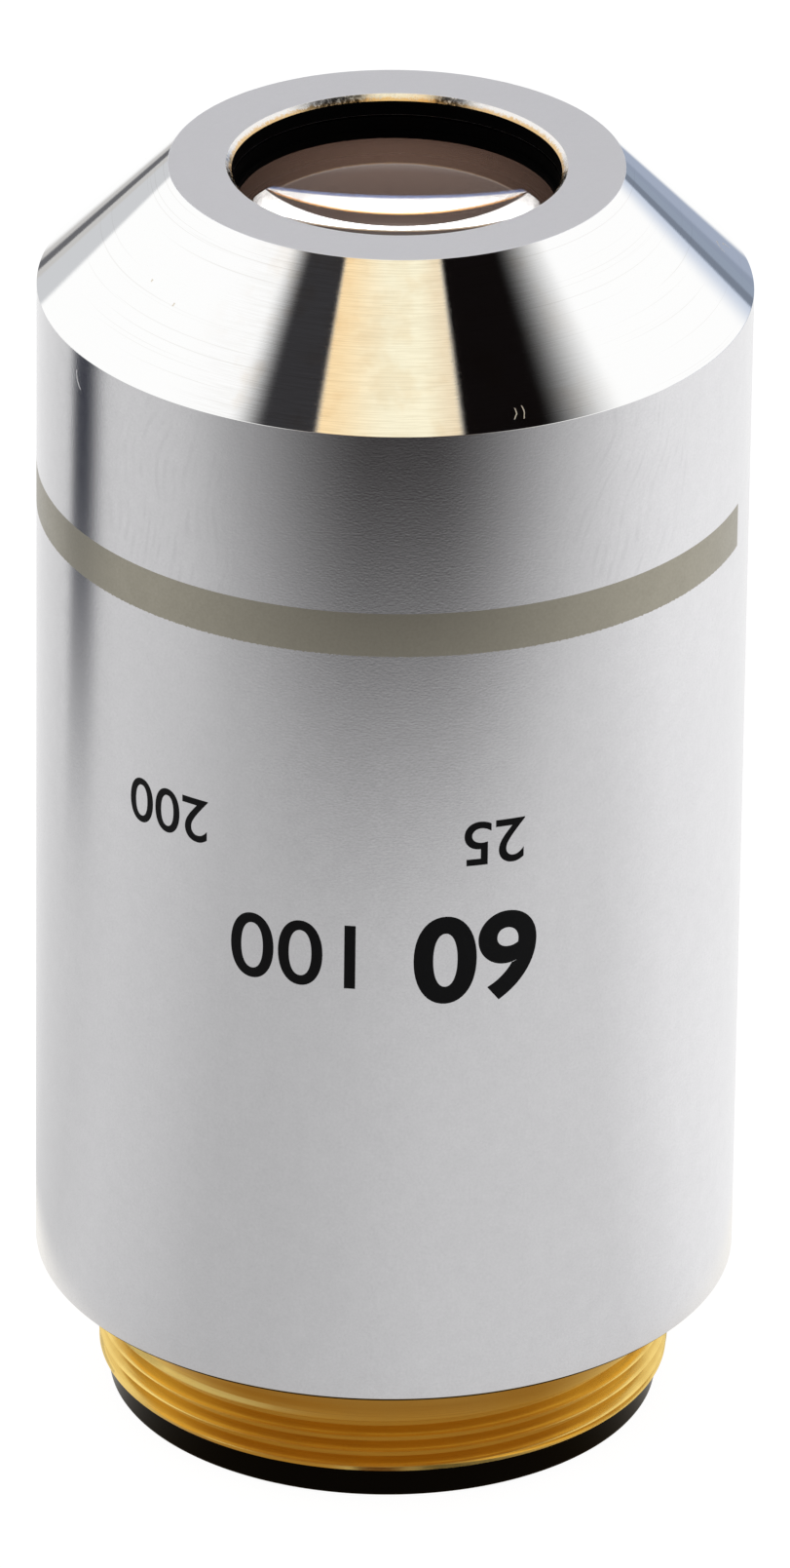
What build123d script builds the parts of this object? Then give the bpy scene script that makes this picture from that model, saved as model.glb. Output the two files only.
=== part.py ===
from build123d import *
import math
import os

# A low-power microscope objective with no moving parts.
# All sizes are in millimetres. The origin is the centre of the mounting shoulder,
# +Z runs along the optical axis towards the specimen, and the objective stands on its rear ring.
# -Y is the side that faces the reader of the marks on the barrel.

os.makedirs("parts", exist_ok=True)

# Standard sizes of the mount
thread_diameter = 25.0
thread_length = 5.0
thread_chamfer = 0.25
parfocal_distance = 60.0
working_distance = 8.5

# Play between fitted pieces
slip = 0.05
face_play = 0.1
nose_play = 0.2

# Main body, a brass tube bored to the radius of its own thread
thread_wall = 1.5
body_wall = 1.45
ledge_height = 1.2
flange_height = 1.5
body_front_play = 0.5
edge_break = 0.1

# Outer sleeve, turned with its cone and front ring in one piece
sleeve_wall = 1.25
skirt_wall = 0.6
front_wall = 0.9
cone_wall = 1.5
front_hole_diameter = 14.0
front_hole_chamfer = 0.25

# Grey magnification band, a thin fill of paint in a shallow groove
band_below_edge = 8.2
band_width = 1.95
band_depth = 0.1
band_end_azimuth = 74.2
band_gap = 20.0

# Rear ring
rear_ring_height = 1.4
rear_ring_inset = 0.5
spigot_length = 3.0
spigot_wall = 0.75
spigot_chamfer = 0.2
rear_mouth_chamfer = 0.4

# Cells and rings
cell_wall = 1.3
seat_width = 0.6
lip_thickness = 0.8
shim_thickness = 0.3
stop_thickness = 0.4
stop_overhang = 1.0
tube_wall = 1.2
rear_tube_length = 2.2
cell_end_margin = 0.2
retainer_height = 1.2
spanner_slot_width = 1.2
spanner_slot_depth = 0.6

# Front cell
lip_overhang = 0.2
rim_width = 0.8
front_lip_thickness = 0.3
nose_wall = 1.25
front_cell_tail = 1.0
lock_ring_height = 1.8
lock_ring_margin = 0.3

# Middle cell and its centring screws
middle_lens_radius = 5.0
middle_cone_depth = 0.8
middle_cone_slope = 2.0
middle_lip_thickness = 0.6
centring_play = 0.25
centring_screws_count = 3
centring_screw_diameter = 2.0
centring_screw_hole_play = 0.05
centring_screw_sink = 0.15
centring_slot_width = 0.35
centring_slot_depth = 0.5

# Lens surfaces. A curve is the radius of a surface, positive where the surface domes forward.
# A lens that is thickest in the middle has its thickness given at the rim, and any other at the vertex.
front_lens_recess = 1.1
front_lens_front_curve = 29.3
front_lens_rim = 1.9
front_lens_rear_curve = -80.0
front_air_gap = 0.4
front_flint_front_curve = 57.9
front_flint_thickness = 1.2
front_cement_curve = 24.14
front_crown_rim = 1.35
front_crown_rear_curve = -36.56

middle_singlet_rear_curve = 9.0
middle_singlet_thickness = 1.0
middle_singlet_front_curve = -19.87
middle_spacer_height = 0.4
middle_crown_rear_curve = 9.0
middle_crown_thickness = 1.0
middle_cement_curve = -9.0
middle_flint_rim = 0.95
middle_flint_front_curve = -14.12

rear_lens_rear_curve = -39.27
rear_lens_rim = 1.0
rear_lens_front_curve = 34.81
rear_air_gap = 0.5
rear_crown_rear_curve = -23.56
rear_crown_rim = 0.9
rear_cement_curve = 16.87
rear_flint_thickness = 1.5
rear_flint_front_curve = 50.52

# Radii, from the thread outwards
thread_radius = thread_diameter / 2
rear_bore_radius = thread_radius - thread_wall
body_bore_radius = thread_radius
body_radius = body_bore_radius + body_wall
sleeve_bore_radius = body_radius + slip
barrel_radius = sleeve_bore_radius + sleeve_wall
skirt_bore_radius = barrel_radius - skirt_wall
flange_radius = skirt_bore_radius - slip

# Radii, from the thread inwards
spigot_radius = rear_bore_radius - slip
rear_aperture_radius = spigot_radius - spigot_wall
rear_ring_radius = thread_radius - rear_ring_inset
cell_radius = body_bore_radius - slip
rear_cell_bore_radius = cell_radius - cell_wall
rear_lens_radius = rear_cell_bore_radius - slip
rear_clear_radius = rear_lens_radius - seat_width
shim_inner_radius = rear_bore_radius + slip

# Radii of the front, from the front hole outwards
front_hole_radius = front_hole_diameter / 2
front_clear_radius = front_hole_radius - lip_overhang
front_lens_radius = front_clear_radius + rim_width
front_cell_bore_radius = front_lens_radius + slip
nose_radius = front_cell_bore_radius + nose_wall
front_inner_radius = nose_radius + nose_play
front_ring_radius = front_inner_radius + cone_wall - front_wall
front_spacer_inner_radius = front_lens_radius - seat_width

# Radii of the middle cell
middle_cell_radius = cell_radius - centring_play
middle_cell_bore_radius = middle_lens_radius + slip
middle_clear_radius = middle_lens_radius - seat_width

# Heights of the outside, with the cone at 45 degrees
front_height = parfocal_distance - working_distance
cone_edge_height = front_height - (barrel_radius - front_ring_radius)
front_inner_height = front_height - front_wall
inner_cone_edge_height = front_inner_height - (sleeve_bore_radius - front_inner_radius)
body_front_height = inner_cone_edge_height - body_front_play
nose_front_height = front_inner_height - face_play
band_top = cone_edge_height - band_below_edge
band_bottom = band_top - band_width
rear_ring_bottom = -thread_length - rear_ring_height


def sag(curve, radius):
    """How far a spherical surface falls back from its vertex at a radius."""
    return radius**2 / (curve * (1 + math.sqrt(1 - (radius / curve) ** 2)))


def surface(vertex, curve, radius):
    """Height of a spherical surface at a radius."""
    return vertex - sag(curve, radius)


def middle_thickness(rim, rear_curve, front_curve, radius):
    """Thickness at the vertex of a lens whose thickness is given at its rim."""
    return rim + sag(front_curve, radius) - sag(rear_curve, radius)


def lowest(vertex, curve, inner_radius, outer_radius):
    """Height at which a flat ring from below meets a surface."""
    return min(surface(vertex, curve, inner_radius), surface(vertex, curve, outer_radius))


def highest(vertex, curve, inner_radius, outer_radius):
    """Height at which a flat ring from above meets a surface."""
    return max(surface(vertex, curve, inner_radius), surface(vertex, curve, outer_radius))


def meridian(azimuth):
    """A sketch plane through the axis, x outwards and y up, at an azimuth from -Y towards +X."""
    angle = math.radians(azimuth - 90)
    outward = (math.cos(angle), math.sin(angle), 0)
    normal = (math.sin(angle), -math.cos(angle), 0)
    return Plane(origin=(0, 0, 0), x_dir=outward, z_dir=normal)


def lens(rear_vertex, front_vertex, rear_curve, front_curve, radius):
    """A lens element turned about the axis between two spherical surfaces."""
    zone = radius / 2
    rear_zone = (zone, surface(rear_vertex, rear_curve, zone))
    front_zone = (zone, surface(front_vertex, front_curve, zone))
    rear_rim = (radius, surface(rear_vertex, rear_curve, radius))
    front_rim = (radius, surface(front_vertex, front_curve, radius))
    with BuildPart() as element:
        with BuildSketch(Plane.XZ):
            with BuildLine():
                ThreePointArc((0, rear_vertex), rear_zone, rear_rim)
                Line(rear_rim, front_rim)
                ThreePointArc(front_rim, front_zone, (0, front_vertex))
                Line((0, front_vertex), (0, rear_vertex))
            make_face()
        revolve(axis=Axis.Z)
    return element


def ring(bottom, top, inner_radius, outer_radius):
    """A plain turned ring, tube or shim."""
    with BuildPart() as piece:
        with BuildSketch(Plane.XY.offset(bottom)):
            Circle(outer_radius)
            Circle(inner_radius, mode=Mode.SUBTRACT)
        extrude(amount=top - bottom)
    return piece


def slotted_ring(bottom, top, inner_radius, outer_radius, slots_up):
    """A retaining ring with two spanner slots across the face that is reached by the spanner."""
    slot_face = top if slots_up else bottom
    slot_depth = -spanner_slot_depth if slots_up else spanner_slot_depth
    with BuildPart() as piece:
        with BuildSketch(Plane.XY.offset(bottom)):
            Circle(outer_radius)
            Circle(inner_radius, mode=Mode.SUBTRACT)
        extrude(amount=top - bottom)
        with BuildSketch(Plane.XY.offset(slot_face)):
            Rectangle(2 * outer_radius + spanner_slot_width, spanner_slot_width)
        extrude(amount=slot_depth, mode=Mode.SUBTRACT)
    return piece


# Heights of the front group, from the front lens backwards
front_lens_front = front_height - front_lens_recess
front_lens_rear = front_lens_front - middle_thickness(
    front_lens_rim, front_lens_rear_curve, front_lens_front_curve, front_lens_radius
)
front_flint_front = front_lens_rear - front_air_gap
front_cement = front_flint_front - front_flint_thickness
front_crown_rear = front_cement - middle_thickness(
    front_crown_rim, front_crown_rear_curve, front_cement_curve, front_lens_radius
)
front_seat = highest(front_lens_front, front_lens_front_curve, front_clear_radius, front_lens_radius)
front_spacer_top = lowest(
    front_lens_rear, front_lens_rear_curve, front_spacer_inner_radius, front_lens_radius
)
front_spacer_bottom = highest(
    front_flint_front, front_flint_front_curve, front_spacer_inner_radius, front_lens_radius
)
front_retainer_top = lowest(
    front_crown_rear, front_crown_rear_curve, front_spacer_inner_radius, front_lens_radius
)
front_retainer_bottom = front_retainer_top - retainer_height
front_cell_bottom = front_retainer_bottom - front_cell_tail
front_flange_top = body_front_height - lock_ring_height

# Heights of the rear group, from the ledge forwards
rear_cell_bottom = ledge_height + shim_thickness
rear_seat = rear_cell_bottom + lip_thickness
rear_lens_rear = rear_seat + sag(rear_lens_rear_curve, rear_clear_radius)
rear_lens_front = rear_lens_rear + middle_thickness(
    rear_lens_rim, rear_lens_rear_curve, rear_lens_front_curve, rear_lens_radius
)
rear_crown_rear = rear_lens_front + rear_air_gap
rear_cement = rear_crown_rear + middle_thickness(
    rear_crown_rim, rear_crown_rear_curve, rear_cement_curve, rear_lens_radius
)
rear_flint_front = rear_cement + rear_flint_thickness
rear_spacer_bottom = highest(rear_lens_front, rear_lens_front_curve, rear_clear_radius, rear_lens_radius)
rear_spacer_top = lowest(rear_crown_rear, rear_crown_rear_curve, rear_clear_radius, rear_lens_radius)
rear_retainer_bottom = highest(rear_flint_front, rear_flint_front_curve, rear_clear_radius, rear_lens_radius)
rear_retainer_top = rear_retainer_bottom + retainer_height
rear_cell_top = rear_retainer_top + cell_end_margin
stop_top = rear_cell_top + stop_thickness

# Heights of the middle group, from the seat in its cell forwards
middle_cell_bottom = stop_top + rear_tube_length
middle_lip_bottom = middle_cell_bottom + middle_cone_depth
middle_cone_radius = middle_clear_radius + middle_cone_slope * middle_cone_depth
middle_seat = middle_lip_bottom + middle_lip_thickness
middle_singlet_rear = middle_seat + sag(middle_singlet_rear_curve, middle_lens_radius)
middle_singlet_front = middle_singlet_rear + middle_singlet_thickness
middle_spacer_bottom = highest(
    middle_singlet_front, middle_singlet_front_curve, middle_clear_radius, middle_lens_radius
)
middle_spacer_top = middle_spacer_bottom + middle_spacer_height
middle_crown_rear = middle_spacer_top + sag(middle_crown_rear_curve, middle_lens_radius)
middle_cement = middle_crown_rear + middle_crown_thickness
middle_flint_front = middle_cement + middle_thickness(
    middle_flint_rim, middle_cement_curve, middle_flint_front_curve, middle_lens_radius
)
middle_retainer_bottom = highest(
    middle_flint_front, middle_flint_front_curve, middle_clear_radius, middle_lens_radius
)
middle_retainer_top = middle_retainer_bottom + retainer_height
middle_cell_top = middle_retainer_top + cell_end_margin
centring_screw_height = (middle_cell_bottom + middle_cell_top) / 2
centring_screw_length = body_radius - centring_screw_sink - middle_cell_radius - slip

# Outer sleeve: skirt over the body's flange, straight barrel, 45 degree cone and front ring
with BuildPart() as outer_sleeve:
    with BuildSketch(Plane.XZ):
        with BuildLine():
            Polyline(
                (skirt_bore_radius, slip),
                (barrel_radius, slip),
                (barrel_radius, cone_edge_height),
                (front_ring_radius, front_height),
                (front_hole_radius + front_hole_chamfer, front_height),
                (front_hole_radius, front_height - front_hole_chamfer),
                (front_hole_radius, front_inner_height),
                (front_inner_radius, front_inner_height),
                (sleeve_bore_radius, inner_cone_edge_height),
                (sleeve_bore_radius, flange_height),
                (skirt_bore_radius, flange_height),
                close=True,
            )
        make_face()
    revolve(axis=Axis.Z)
    chamfer(outer_sleeve.edges().filter_by(GeomType.CIRCLE).group_by(Axis.Z)[0], edge_break)
    with BuildSketch(meridian(band_end_azimuth)):
        with Locations((barrel_radius, (band_bottom + band_top) / 2)):
            Rectangle(2 * band_depth, band_width)
    revolve(axis=Axis.Z, revolution_arc=band_gap - 360, mode=Mode.SUBTRACT)

# The grey band stops short of a full turn and leaves a gap at its seam
with BuildPart() as magnification_band:
    with BuildSketch(meridian(band_end_azimuth)):
        with Locations((barrel_radius - band_depth / 2, (band_bottom + band_top) / 2)):
            Rectangle(band_depth, band_width)
    revolve(axis=Axis.Z, revolution_arc=band_gap - 360)

# Main body: mounting thread, shoulder flange, ledge for the lens stack and long tube
with BuildPart() as main_body:
    with BuildSketch(Plane.XZ):
        with BuildLine():
            Polyline(
                (rear_bore_radius, -thread_length),
                (thread_radius - thread_chamfer, -thread_length),
                (thread_radius, thread_chamfer - thread_length),
                (thread_radius, 0),
                (flange_radius, 0),
                (flange_radius, flange_height),
                (body_radius, flange_height),
                (body_radius, body_front_height),
                (body_bore_radius, body_front_height),
                (body_bore_radius, ledge_height),
                (rear_bore_radius, ledge_height),
                close=True,
            )
        make_face()
    revolve(axis=Axis.Z)
    with Locations((0, 0, centring_screw_height)):
        with PolarLocations((body_bore_radius + body_radius) / 2, centring_screws_count):
            Cylinder(
                centring_screw_diameter / 2 + centring_screw_hole_play,
                2 * body_wall,
                rotation=(0, 90, 0),
                mode=Mode.SUBTRACT,
            )

# Grub screws that push the middle cell into line
with BuildPart() as centring_screws:
    with Locations((0, 0, centring_screw_height)):
        screw_middle = middle_cell_radius + slip + centring_screw_length / 2
        with PolarLocations(screw_middle, centring_screws_count):
            Cylinder(centring_screw_diameter / 2, centring_screw_length, rotation=(0, 90, 0))
        slot_middle = middle_cell_radius + slip + centring_screw_length - centring_slot_depth / 2
        with PolarLocations(slot_middle, centring_screws_count):
            Box(
                centring_slot_depth,
                2 * centring_screw_diameter,
                centring_slot_width,
                mode=Mode.SUBTRACT,
            )

# Rear ring: black flange behind the thread on a spigot in the rear bore
with BuildPart() as rear_ring:
    with BuildSketch(Plane.XZ):
        with BuildLine():
            Polyline(
                (rear_aperture_radius + rear_mouth_chamfer, rear_ring_bottom),
                (rear_ring_radius, rear_ring_bottom),
                (rear_ring_radius, -thread_length),
                (spigot_radius, -thread_length),
                (spigot_radius, spigot_length - spigot_chamfer - thread_length),
                (spigot_radius - spigot_chamfer, spigot_length - thread_length),
                (rear_aperture_radius, spigot_length - thread_length),
                (rear_aperture_radius, rear_ring_bottom + rear_mouth_chamfer),
                close=True,
            )
        make_face()
    revolve(axis=Axis.Z)
    chamfer(rear_ring.edges().filter_by(GeomType.CIRCLE).sort_by(SortBy.RADIUS)[-2:], edge_break)
    with BuildSketch(Plane.XY.offset(rear_ring_bottom)):
        Rectangle(3 * rear_ring_radius, spanner_slot_width)
    extrude(amount=spanner_slot_depth, mode=Mode.SUBTRACT)

# Rear cell, a cup with a lip that carries the rear lens
with BuildPart() as rear_cell:
    with BuildSketch(Plane.XZ):
        with BuildLine():
            Polyline(
                (rear_clear_radius, rear_cell_bottom),
                (cell_radius, rear_cell_bottom),
                (cell_radius, rear_cell_top),
                (rear_cell_bore_radius, rear_cell_top),
                (rear_cell_bore_radius, rear_seat),
                (rear_clear_radius, rear_seat),
                close=True,
            )
        make_face()
    revolve(axis=Axis.Z)

# Middle cell, a thick ring with a cone behind the lip for the light cone to pass
with BuildPart() as middle_cell:
    with BuildSketch(Plane.XZ):
        with BuildLine():
            Polyline(
                (middle_cone_radius, middle_cell_bottom),
                (middle_cell_radius, middle_cell_bottom),
                (middle_cell_radius, middle_cell_top),
                (middle_cell_bore_radius, middle_cell_top),
                (middle_cell_bore_radius, middle_seat),
                (middle_clear_radius, middle_seat),
                (middle_clear_radius, middle_lip_bottom),
                close=True,
            )
        make_face()
    revolve(axis=Axis.Z)

# Front cell, a flange in the body with a nose that reaches up behind the front ring
with BuildPart() as front_cell:
    with BuildSketch(Plane.XZ):
        with BuildLine():
            Polyline(
                (front_cell_bore_radius, front_cell_bottom),
                (cell_radius, front_cell_bottom),
                (cell_radius, front_flange_top),
                (nose_radius, front_flange_top),
                (nose_radius, nose_front_height),
                (front_hole_radius, nose_front_height),
                (front_hole_radius, front_seat + front_lip_thickness),
                (front_clear_radius, front_seat + front_lip_thickness),
                (front_clear_radius, front_seat),
                (front_cell_bore_radius, front_seat),
                close=True,
            )
        make_face()
    revolve(axis=Axis.Z)

# Shim, stop and spacer tubes of the stack, then the ring that locks it
parfocal_shim = ring(ledge_height, rear_cell_bottom, shim_inner_radius, cell_radius)
glare_stop = ring(rear_cell_top, stop_top, rear_clear_radius - stop_overhang, cell_radius)
rear_tube = ring(stop_top, middle_cell_bottom, cell_radius - tube_wall, cell_radius)
front_tube = ring(middle_cell_top, front_cell_bottom, cell_radius - tube_wall, cell_radius)
lock_ring = slotted_ring(
    front_flange_top, body_front_height, nose_radius + lock_ring_margin, cell_radius, slots_up=True
)

# Rings inside the cells
front_spacer = ring(front_spacer_bottom, front_spacer_top, front_spacer_inner_radius, front_lens_radius)
middle_spacer = ring(middle_spacer_bottom, middle_spacer_top, middle_clear_radius, middle_lens_radius)
rear_spacer = ring(rear_spacer_bottom, rear_spacer_top, rear_clear_radius, rear_lens_radius)
front_retainer = slotted_ring(
    front_retainer_bottom, front_retainer_top, front_spacer_inner_radius, front_lens_radius, slots_up=False
)
middle_retainer = slotted_ring(
    middle_retainer_bottom, middle_retainer_top, middle_clear_radius, middle_lens_radius, slots_up=True
)
rear_retainer = slotted_ring(
    rear_retainer_bottom, rear_retainer_top, rear_clear_radius, rear_lens_radius, slots_up=True
)

# Lens elements, from the specimen's side backwards. A cemented pair shares its inner surface.
front_lens = lens(
    front_lens_rear, front_lens_front, front_lens_rear_curve, front_lens_front_curve, front_lens_radius
)
front_flint = lens(
    front_cement, front_flint_front, front_cement_curve, front_flint_front_curve, front_lens_radius
)
front_crown = lens(
    front_crown_rear, front_cement, front_crown_rear_curve, front_cement_curve, front_lens_radius
)
middle_flint = lens(
    middle_cement, middle_flint_front, middle_cement_curve, middle_flint_front_curve, middle_lens_radius
)
middle_crown = lens(
    middle_crown_rear, middle_cement, middle_crown_rear_curve, middle_cement_curve, middle_lens_radius
)
middle_singlet = lens(
    middle_singlet_rear,
    middle_singlet_front,
    middle_singlet_rear_curve,
    middle_singlet_front_curve,
    middle_lens_radius,
)
rear_flint = lens(
    rear_cement, rear_flint_front, rear_cement_curve, rear_flint_front_curve, rear_lens_radius
)
rear_crown = lens(
    rear_crown_rear, rear_cement, rear_crown_rear_curve, rear_cement_curve, rear_lens_radius
)
rear_lens = lens(
    rear_lens_rear, rear_lens_front, rear_lens_rear_curve, rear_lens_front_curve, rear_lens_radius
)

pieces = {
    "outer_sleeve": outer_sleeve,
    "magnification_band": magnification_band,
    "main_body": main_body,
    "centring_screws": centring_screws,
    "rear_ring": rear_ring,
    "parfocal_shim": parfocal_shim,
    "rear_cell": rear_cell,
    "rear_lens": rear_lens,
    "rear_spacer": rear_spacer,
    "rear_crown": rear_crown,
    "rear_flint": rear_flint,
    "rear_retainer": rear_retainer,
    "glare_stop": glare_stop,
    "rear_tube": rear_tube,
    "middle_cell": middle_cell,
    "middle_singlet": middle_singlet,
    "middle_spacer": middle_spacer,
    "middle_crown": middle_crown,
    "middle_flint": middle_flint,
    "middle_retainer": middle_retainer,
    "front_tube": front_tube,
    "front_cell": front_cell,
    "front_retainer": front_retainer,
    "front_crown": front_crown,
    "front_flint": front_flint,
    "front_spacer": front_spacer,
    "front_lens": front_lens,
    "lock_ring": lock_ring,
}
for name, piece in pieces.items():
    piece.part.label = name
    export_step(piece.part, f"parts/{name}.step")
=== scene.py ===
"""Looks of a low-power microscope objective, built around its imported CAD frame.

The objective stands on its rear ring. Heights run up the optical axis from the mounting shoulder,
and azimuths run from the side that faces the reader of the marks, counter-clockwise from above.
"""

import logging
import math
from dataclasses import dataclass
from enum import Enum

import bmesh
import bpy
from mathutils import Matrix, Vector


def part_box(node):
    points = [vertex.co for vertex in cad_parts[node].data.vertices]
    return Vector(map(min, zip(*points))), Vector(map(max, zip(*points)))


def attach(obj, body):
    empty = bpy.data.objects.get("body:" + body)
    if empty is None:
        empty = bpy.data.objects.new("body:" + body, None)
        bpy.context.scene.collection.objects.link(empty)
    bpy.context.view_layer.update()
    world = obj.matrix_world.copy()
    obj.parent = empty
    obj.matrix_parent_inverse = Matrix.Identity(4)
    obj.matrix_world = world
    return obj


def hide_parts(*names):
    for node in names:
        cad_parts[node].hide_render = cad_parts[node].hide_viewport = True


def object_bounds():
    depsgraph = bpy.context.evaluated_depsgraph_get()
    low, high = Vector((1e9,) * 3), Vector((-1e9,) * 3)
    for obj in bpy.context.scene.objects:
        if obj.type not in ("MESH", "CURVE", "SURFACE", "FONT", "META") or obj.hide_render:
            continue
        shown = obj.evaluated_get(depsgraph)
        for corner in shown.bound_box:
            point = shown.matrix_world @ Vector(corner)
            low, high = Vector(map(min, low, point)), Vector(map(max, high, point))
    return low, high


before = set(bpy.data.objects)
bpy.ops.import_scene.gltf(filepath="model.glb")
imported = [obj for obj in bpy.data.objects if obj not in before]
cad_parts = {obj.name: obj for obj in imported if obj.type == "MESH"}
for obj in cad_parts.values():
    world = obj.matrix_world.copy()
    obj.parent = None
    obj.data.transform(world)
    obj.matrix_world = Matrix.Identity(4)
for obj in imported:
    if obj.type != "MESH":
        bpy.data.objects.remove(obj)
cad_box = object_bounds()

log = logging.getLogger("objective")
MM = 0.001
TURN = 2 * math.pi
Socket = bpy.types.NodeSocket
Colour = tuple[float, float, float]
WHITE: Colour = (1.0, 1.0, 1.0)


class Graph:
    """A short way to write the nodes of one material, world or node group."""

    def __init__(self, tree: bpy.types.NodeTree) -> None:
        """Start from a tree and empty it."""
        self.tree = tree
        self.tree.nodes.clear()

    def add(self, kind: str, **settings: object) -> bpy.types.Node:
        """Add a node.

        Args:
            kind: Blender's name for the node type, without its ShaderNode prefix.
            settings: attributes of the node.

        Returns:
            The node.
        """
        node = self.tree.nodes.new(kind if kind.startswith("NodeGroup") else f"ShaderNode{kind}")
        for name, value in settings.items():
            setattr(node, name, value)
        return node

    def feed(self, socket: Socket, value: object) -> None:
        """Link a socket to another one, or set it to a plain value.

        Args:
            socket: the input.
            value: an output socket, a number, a colour or a vector.
        """
        if isinstance(value, bpy.types.NodeSocket):
            self.tree.links.new(value, socket)
        elif isinstance(value, tuple) and socket.type == "RGBA" and len(value) == 3:
            socket.default_value = (*value, 1.0)
        else:
            socket.default_value = value

    def math(self, operation: str, *values: object, clamp: bool = False) -> Socket:
        """Work out one number.

        Args:
            operation: Blender's name for the operation.
            values: sockets or numbers.
            clamp: whether the result stays between 0 and 1.

        Returns:
            The result.
        """
        node = self.add("Math", operation=operation, use_clamp=clamp)
        for socket, value in zip(node.inputs, values):
            self.feed(socket, value)
        return node.outputs[0]

    def times(self, first: object, second: object) -> Socket:
        """The product of two numbers."""
        return self.math("MULTIPLY", first, second)

    def plus(self, first: object, second: object, clamp: bool = False) -> Socket:
        """The sum of two numbers, held between 0 and 1 if it is clamped."""
        return self.math("ADD", first, second, clamp=clamp)

    def minus(self, first: object, second: object) -> Socket:
        """One number less another."""
        return self.math("SUBTRACT", first, second)

    def over(self, first: object, second: object) -> Socket:
        """One number divided by another."""
        return self.math("DIVIDE", first, second)

    def ramp(self, value: object, low: object, high: object, start: object = 0.0, end: object = 1.0) -> Socket:
        """Turn a number smoothly from one level to another between two limits.

        Args:
            value: the number.
            low: where the turn begins.
            high: where the turn ends.
            start: the level before it.
            end: the level after it.

        Returns:
            The level.
        """
        node = self.add("MapRange", interpolation_type="SMOOTHSTEP")
        names = ("Value", "From Min", "From Max", "To Min", "To Max")
        for name, item in zip(names, (value, low, high, start, end)):
            self.feed(node.inputs[name], item)
        return node.outputs["Result"]

    def window(self, value: object, low: float, high: float, soft: float) -> Socket:
        """A mask that is 1 between two limits.

        Args:
            value: the number that is tested.
            low: the lower limit.
            high: the upper limit.
            soft: the width over which each limit fades.

        Returns:
            The mask.
        """
        rise = self.ramp(value, low - soft, low + soft)
        fall = self.ramp(value, high - soft, high + soft, 1.0, 0.0)
        return self.times(rise, fall)

    def mix(self, amount: object, first: object, second: object) -> Socket:
        """Mix two colours.

        Args:
            amount: the share of the second one.
            first: a socket or colour.
            second: a socket or colour.

        Returns:
            The mixed colour.
        """
        node = self.add("Mix", data_type="RGBA")
        self.feed(node.inputs["Factor"], amount)
        self.feed(node.inputs[6], first)
        self.feed(node.inputs[7], second)
        return node.outputs[2]

    def noise(self, vector: object, scale: object, detail: float = 2.0, rough: float = 0.5) -> Socket:
        """Smooth random values.

        Args:
            vector: the place.
            scale: how many features there are in a unit of length.
            detail: the number of finer layers.
            rough: how strong the finer layers are.

        Returns:
            A value around one half.
        """
        node = self.add("TexNoise")
        self.feed(node.inputs["Vector"], vector)
        self.feed(node.inputs["Scale"], scale)
        node.inputs["Detail"].default_value = detail
        node.inputs["Roughness"].default_value = rough
        return node.outputs["Fac"]

    def course(self, value: object, *stops: tuple[float, float]) -> Socket:
        """Follow a course of levels, straight from each stop to the next.

        Args:
            value: the number that is followed, from 0 to 1.
            stops: places and their levels.

        Returns:
            The level.
        """
        node = self.add("ValToRGB")
        elements = node.color_ramp.elements
        while len(elements) < len(stops):
            elements.new(0.5)
        for element, (place, level) in zip(elements, stops):
            element.position = place
            element.color = (level, level, level, 1.0)
        self.feed(node.inputs[0], value)
        return node.outputs["Color"]

    def vector(self, x: object, y: object, z: object) -> Socket:
        """Put three numbers together as one vector."""
        node = self.add("CombineXYZ")
        for socket, value in zip(node.inputs, (x, y, z)):
            self.feed(socket, value)
        return node.outputs[0]

    def parts(self, vector: object) -> list[Socket]:
        """The three numbers of a vector."""
        node = self.add("SeparateXYZ")
        self.feed(node.inputs[0], vector)
        return list(node.outputs)


class Effect:
    """A surface effect that several finishes share, kept as one node group."""

    name: str = "effect"
    inputs: dict[str, float] = {}
    outputs: tuple[str, ...] = ()

    def __init__(self) -> None:
        """Build the group once."""
        tree = bpy.data.node_groups.new(self.name, "ShaderNodeTree")
        for name, value in self.inputs.items():
            socket = tree.interface.new_socket(name, in_out="INPUT", socket_type="NodeSocketFloat")
            socket.default_value = value
        for name in self.outputs:
            kind = "NodeSocketVector" if name.endswith("place") else "NodeSocketFloat"
            tree.interface.new_socket(name, in_out="OUTPUT", socket_type=kind)
        graph = Graph(tree)
        entry = graph.add("NodeGroupInput")
        results = self.compose(graph, {name: entry.outputs[name] for name in self.inputs})
        leave = graph.add("NodeGroupOutput")
        for name, result in zip(self.outputs, results):
            graph.feed(leave.inputs[name], result)
        self.tree = tree

    def compose(self, graph: Graph, given: dict[str, Socket]) -> tuple[Socket, ...]:
        """Work out the outputs.

        Args:
            graph: the group's own graph.
            given: the group's inputs by name.

        Returns:
            One socket for each output, in order.
        """
        raise NotImplementedError

    def place(self, graph: Graph, **values: object) -> dict[str, Socket]:
        """Put the effect into a material.

        Args:
            graph: the material's graph.
            values: the effect's inputs, with underscores for spaces.

        Returns:
            The effect's outputs by name.
        """
        node = graph.add("Group", node_tree=self.tree)
        for name, value in values.items():
            graph.feed(node.inputs[name.replace("_", " ").capitalize()], value)
        return {name: node.outputs[name] for name in self.outputs}


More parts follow.
